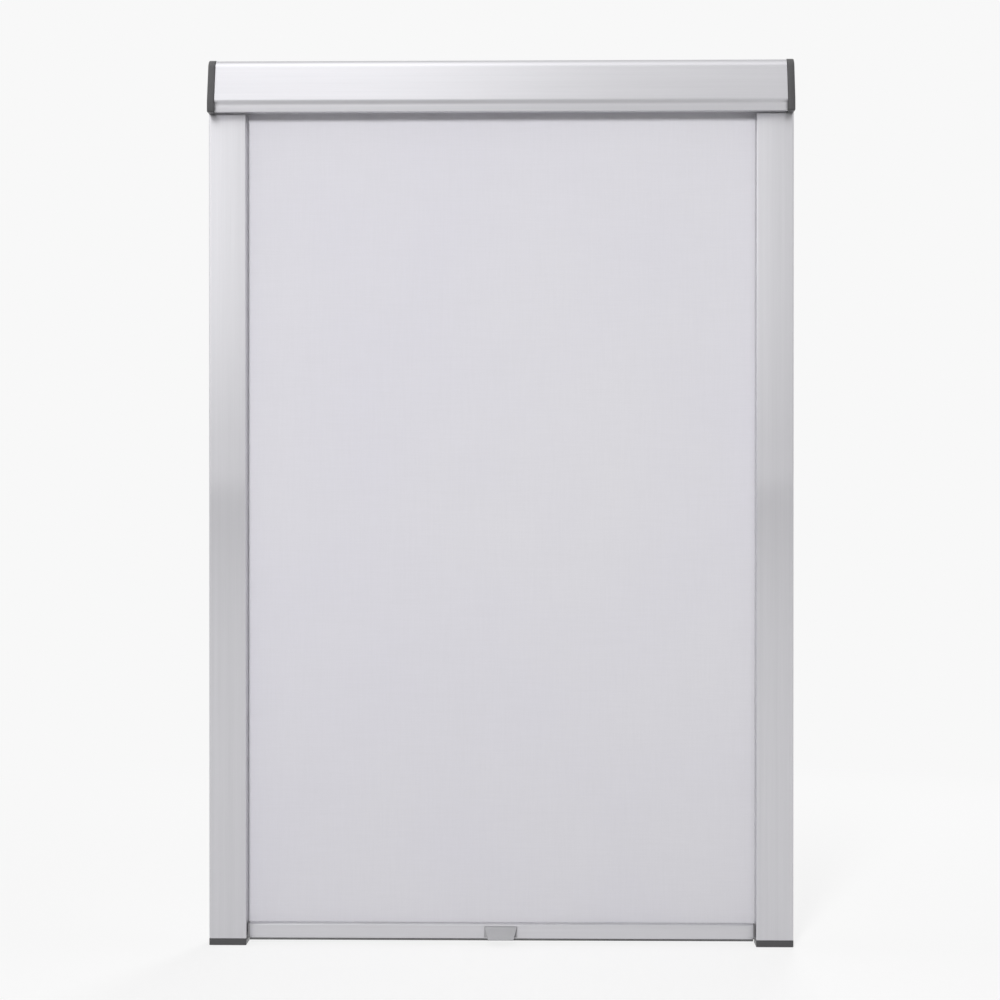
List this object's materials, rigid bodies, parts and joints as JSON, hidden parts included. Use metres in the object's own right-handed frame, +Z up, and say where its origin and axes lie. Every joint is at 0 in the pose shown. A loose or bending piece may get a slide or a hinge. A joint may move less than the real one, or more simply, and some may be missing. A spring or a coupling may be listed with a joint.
{
  "type": "blackout roller blind",
  "caption": "Roof window blackout blind: sprung roller in an aluminium head, cloth in side rails, sliding bottom bar with a pull handle.",
  "frame": {"origin": "middle of the head profile's flat back face", "axes": "+Z up the rails, -Y out of the blind's front towards the room, +X along the head to the viewer's right"},
  "size_m": [0.613, 0.0429, 0.93],
  "materials": {
    "anodised_aluminium": "satin anodised",
    "dark_plastic": "fine moulded grain",
    "grey_plastic": "satin moulded",
    "white_plastic": "satin moulded",
    "zinc_steel": "zinc plated",
    "spring_steel": "oiled",
    "seal_rubber": "matt",
    "brake_felt": "pressed felt",
    "blackout_fabric": "coated fine weave"
  },
  "bodies": {
    "frame": {"head_profile": "anodised_aluminium", "left_end_cap": "dark_plastic", "right_end_cap": "dark_plastic", "left_cap_screw_upper": "zinc_steel", "right_cap_screw_upper": "zinc_steel", "left_cap_screw_lower": "zinc_steel", "right_cap_screw_lower": "zinc_steel", "left_rail": "anodised_aluminium", "right_rail": "anodised_aluminium", "left_rail_foot": "dark_plastic", "right_rail_foot": "dark_plastic", "left_foot_screw": "zinc_steel", "right_foot_screw": "zinc_steel", "spring_shaft": "zinc_steel", "spring_anchor": "white_plastic", "torsion_spring": "spring_steel", "blackout_cloth": "blackout_fabric"},
    "roller": {"roller_tube": "anodised_aluminium", "roller_spline": "white_plastic", "rolled_cloth": "blackout_fabric", "idler_plug": "white_plastic", "drive_plug": "white_plastic", "idler_pin": "zinc_steel"},
    "bar": {"bottom_bar": "anodised_aluminium", "bar_spline": "white_plastic", "bar_seal": "seal_rubber", "pull_handle": "grey_plastic", "left_glider": "dark_plastic", "right_glider": "dark_plastic", "left_brake_pad": "brake_felt", "right_brake_pad": "brake_felt", "left_brake_spring": "spring_steel", "right_brake_spring": "spring_steel"}
  },
  "joints": [
    {"name": "bar_slide", "type": "slide", "parent": "frame", "child": "bar", "axis": [0, 0, 1], "range_m": [0, 0.845], "deforming": ["blackout_cloth"]},
    {"name": "roller_spin", "type": "hinge", "parent": "frame", "child": "roller", "pos_m": [0, -0.02039, 0], "axis": [1, 0, 0], "range_deg": [0, 3583]}
  ],
  "couplings": [
    {"joint": "roller_spin", "follows": "bar_slide", "rad_per_m": 74}
  ]
}
